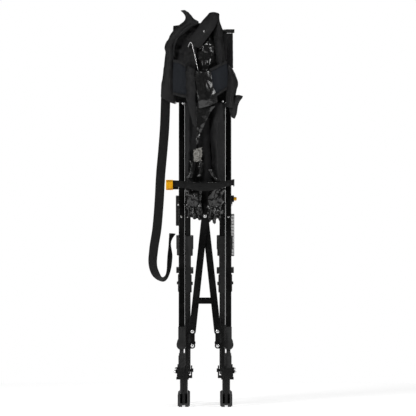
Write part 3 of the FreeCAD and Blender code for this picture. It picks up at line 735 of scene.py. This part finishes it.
def side_shrouds():
    """Black shrouds outside the far outer tubes; the right one carries a marked strip."""
    wide, deep = 0.0085, 0.018
    for side, way, middle, long in (("right", 1, 0.451, 0.112), ("left", -1, 0.516, 0.080)):
        foot, _, up = bar_line("outer", "far", side)
        place = foot + up * ((middle - foot.z) / up.z)
        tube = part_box(f"outer_tube_far_{side}")
        outside = (tube[1][0] if way > 0 else tube[0][0]) - place.x
        bm = bmesh.new()
        edge = sorted((outside, outside + way * wide))
        rounded_box(bm, (edge[0], -deep / 2, -long / 2), (edge[1], deep / 2, long / 2), 0.0015)
        set_along(bm, place, up)
        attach(piece_from(bm, f"shroud_{side}", CAP, smooth=False), f"outer_bar_far_{side}")
        if side == "left":
            continue
        face = -deep / 2 - 0.0003
        bm = bmesh.new()
        rounded_box(bm, (edge[0] + 0.0006, face - 0.0003, -long / 2 + 0.003),
                    (edge[1] - 0.0006, face + 0.0004, long / 2 - 0.003), 0.0001, 1)
        set_along(bm, place, up)
        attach(piece_from(bm, "marked_strip", LABEL, smooth=False), "outer_bar_far_right")
        bm = bmesh.new()
        for n in range(12):
            z = -long / 2 + 0.010 + n * 0.0083
            reach = 0.0052 if n % 3 else 0.0064
            rounded_box(bm, (edge[0] + 0.0012, face - 0.0006, z),
                        (edge[0] + 0.0012 + reach, face, z + 0.0012 + 0.0012 * (n % 2)),
                        0.0001, 1)
        set_along(bm, place, up)
        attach(piece_from(bm, "strip_marks", INK, smooth=False), "outer_bar_far_right")


def small_things():
    """Release button dome and the bright rod at the neck."""
    low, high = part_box("release_button")
    bm = bmesh.new()
    middle = (Vector(low) + Vector(high)) / 2
    domed_head(bm, Vector((high[0] - 0.0008, middle.y, middle.z)), (1, 0, 0), 0.0049, 0.0022)
    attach(piece_from(bm, "button_dome", YELLOW), "release_button")

    line = [spot(-44, -150, 946), spot(-40, -158, 958), spot(-34, -162, 956),
            spot(-31, -163, 940), spot(-26, -163, 915), spot(-18, -160, 884)]
    curve = bpy.data.curves.new("neck_rod", "CURVE")
    curve.dimensions = "3D"
    curve.bevel_depth = 0.0011
    curve.bevel_resolution = 3
    spline = curve.splines.new("NURBS")
    spline.points.add(len(line) - 1)
    for point, place in zip(spline.points, line):
        point.co = (*place, 1)
    spline.order_u = 3
    spline.use_endpoint_u = True
    rod = bpy.data.objects.new("neck_rod", curve)
    bpy.context.scene.collection.objects.link(rod)
    curve.materials.append(STEEL)
    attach(rod, COVER_LEFT)


deck_panels()
end_cover()
storage_strap()
carry_strap()
buckle()
rivets()
sleeves()
side_shrouds()
hems()
small_things()


# ---------------------------------------------------------------- studio
def studio():
    """White sweep, soft lights at both sides and a long lens looking along the bed."""
    bm = bmesh.new()
    bmesh.ops.create_grid(bm, x_segments=1, y_segments=1, size=1.5)
    mesh = bpy.data.meshes.new("floor")
    bm.to_mesh(mesh)
    bm.free()
    floor = bpy.data.objects.new("floor", mesh)
    bpy.context.scene.collection.objects.link(floor)
    paper = bpy.data.materials.new("paper")
    paper.use_nodes = True
    shader = paper.node_tree.nodes["Principled BSDF"].inputs
    shader["Base Color"].default_value = (0.9, 0.9, 0.9, 1)
    shader["Roughness"].default_value = 0.9
    shader["Emission Color"].default_value = (1, 1, 1, 1)
    shader["Emission Strength"].default_value = 0.66
    mesh.materials.append(paper)

    world = bpy.data.worlds.new("studio")
    bpy.context.scene.world = world
    world.use_nodes = True
    seen = world.node_tree.nodes["Background"]
    seen.inputs["Color"].default_value = (1, 1, 1, 1)
    lit = add(world.node_tree, "ShaderNodeBackground", Color=(1, 1, 1, 1), Strength=0.03)
    path = add(world.node_tree, "ShaderNodeLightPath")
    both = add(world.node_tree, "ShaderNodeMixShader", i0=path.outputs["Is Camera Ray"],
               i1=lit.outputs[0], i2=seen.outputs[0])
    world.node_tree.links.new(both.outputs[0],
                              world.node_tree.nodes["World Output"].inputs["Surface"])
    lamps = {"key": ((-1.3, -2.4, 2.4), 0.7, 42), "fill": ((2.2, -1.2, 1.3), 0.7, 20),
             "rim": ((0.4, 2.4, 2.2), 1.0, 16), "side": ((-2.3, -0.5, 0.8), 0.5, 10)}
    for name, (place, size, power) in lamps.items():
        light = bpy.data.lights.new(name, "AREA")
        light.size = size
        light.energy = power
        lamp = bpy.data.objects.new(name, light)
        bpy.context.scene.collection.objects.link(lamp)
        lamp.location = Vector(place) + Vector((MID_X, MID_Y, 0))
        aim = Vector((MID_X, MID_Y, 0.55)) - lamp.location
        lamp.rotation_euler = aim.to_track_quat("-Z", "Y").to_euler()

    field, distance = 1.094, 12.0
    lens = bpy.data.cameras.new("camera")
    lens.sensor_width = 36.0
    lens.lens = lens.sensor_width * (distance - 0.12) / field
    lens.clip_end = 60.0
    camera = bpy.data.objects.new("camera", lens)
    bpy.context.scene.collection.objects.link(camera)
    camera.location = (MID_X + 0.0079, MID_Y - distance, 0.523)
    camera.rotation_euler = (math.radians(90), 0, 0)
    bpy.context.scene.camera = camera
    bpy.context.scene.view_settings.view_transform = "Standard"


studio()
